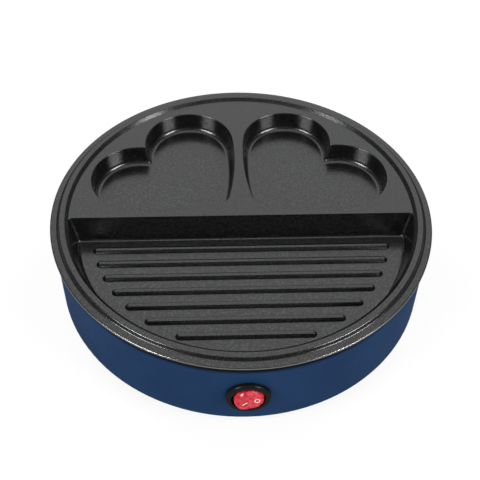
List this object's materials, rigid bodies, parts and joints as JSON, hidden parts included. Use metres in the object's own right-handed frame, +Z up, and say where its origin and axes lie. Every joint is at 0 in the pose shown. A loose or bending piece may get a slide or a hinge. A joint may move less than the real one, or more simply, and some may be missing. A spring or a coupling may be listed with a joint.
{
  "type": "electric grill pan",
  "caption": "Round countertop electric grill pan with heart-shaped wells, a ribbed griddle recess, steel housing and rocker switch.",
  "frame": {"origin": "centre of the resting plane under the four feet", "axes": "+Z up out of the cooking plate, -Y towards the switch, +Y towards the cord gland"},
  "size_m": [0.21, 0.2172, 0.0569],
  "materials": {
    "black_plastic": "black heat-resistant plastic, fine satin",
    "black_rubber": "black rubber, matt",
    "black_sheet": "satin black paint on pressed steel",
    "black_silicone": "matt black heat-resistant silicone",
    "blue_enamel": "navy blue stoved enamel on drawn steel, smooth satin",
    "brass_parts": "plain brass",
    "bright_sheet": "bright aluminised steel sheet",
    "brown_resin": "brown phenolic resin",
    "element_sheath": "dull oxidised steel tube",
    "fuse_metal": "plated metal case",
    "glass_sleeve": "braided glass-fibre sleeve",
    "nonstick_cast": "dark grey non-stick coating on cast aluminium, satin",
    "plain_aluminium": "plain pressed aluminium",
    "red_plastic": "red translucent plastic, glossy",
    "white_ceramic": "unglazed off-white ceramic",
    "wire_sleeve": "silicone-insulated copper wire",
    "zinc_steel": "bright zinc plating"
  },
  "bodies": {
    "pan": {"base_plate": "black_sheet", "base_screws": "zinc_steel", "block_inserts": "brass_parts", "block_screws": "zinc_steel", "clamp_screws": "zinc_steel", "cord_gland": "black_plastic", "earth_screw": "brass_parts", "earth_tag": "brass_parts", "earth_wire": "wire_sleeve", "element_beads": "white_ceramic", "element_pins": "zinc_steel", "foot_front_left": "black_rubber", "foot_front_right": "black_rubber", "foot_rear_left": "black_rubber", "foot_rear_right": "black_rubber", "foot_screws": "zinc_steel", "fuse_clip": "zinc_steel", "fuse_clip_screws": "zinc_steel", "fuse_sleeve": "glass_sleeve", "fuse_wire": "wire_sleeve", "gland_nut": "black_plastic", "grill_plate": "nonstick_cast", "heating_element": "element_sheath", "housing": "blue_enamel", "lamp_wire": "wire_sleeve", "link_wire": "wire_sleeve", "live_wire": "wire_sleeve", "lower_posts": "zinc_steel", "reflector": "bright_sheet", "return_wire": "wire_sleeve", "rim_gasket": "black_silicone", "switch_body": "black_plastic", "switch_terminals": "brass_parts", "switch_wire": "wire_sleeve", "terminal_block": "white_ceramic", "thermal_fuse": "fuse_metal", "thermostat_body": "brown_resin", "thermostat_cup": "plain_aluminium", "thermostat_screws": "zinc_steel", "thermostat_spades": "brass_parts", "upper_posts": "zinc_steel"},
    "rocker": {"switch_rocker": "red_plastic"}
  },
  "joints": [
    {"name": "rocker_hinge", "type": "hinge", "parent": "pan", "child": "rocker", "pos_m": [0, -0.1024, 0.0288], "axis": [0, 0, -1], "range_deg": [0, 20]}
  ]
}
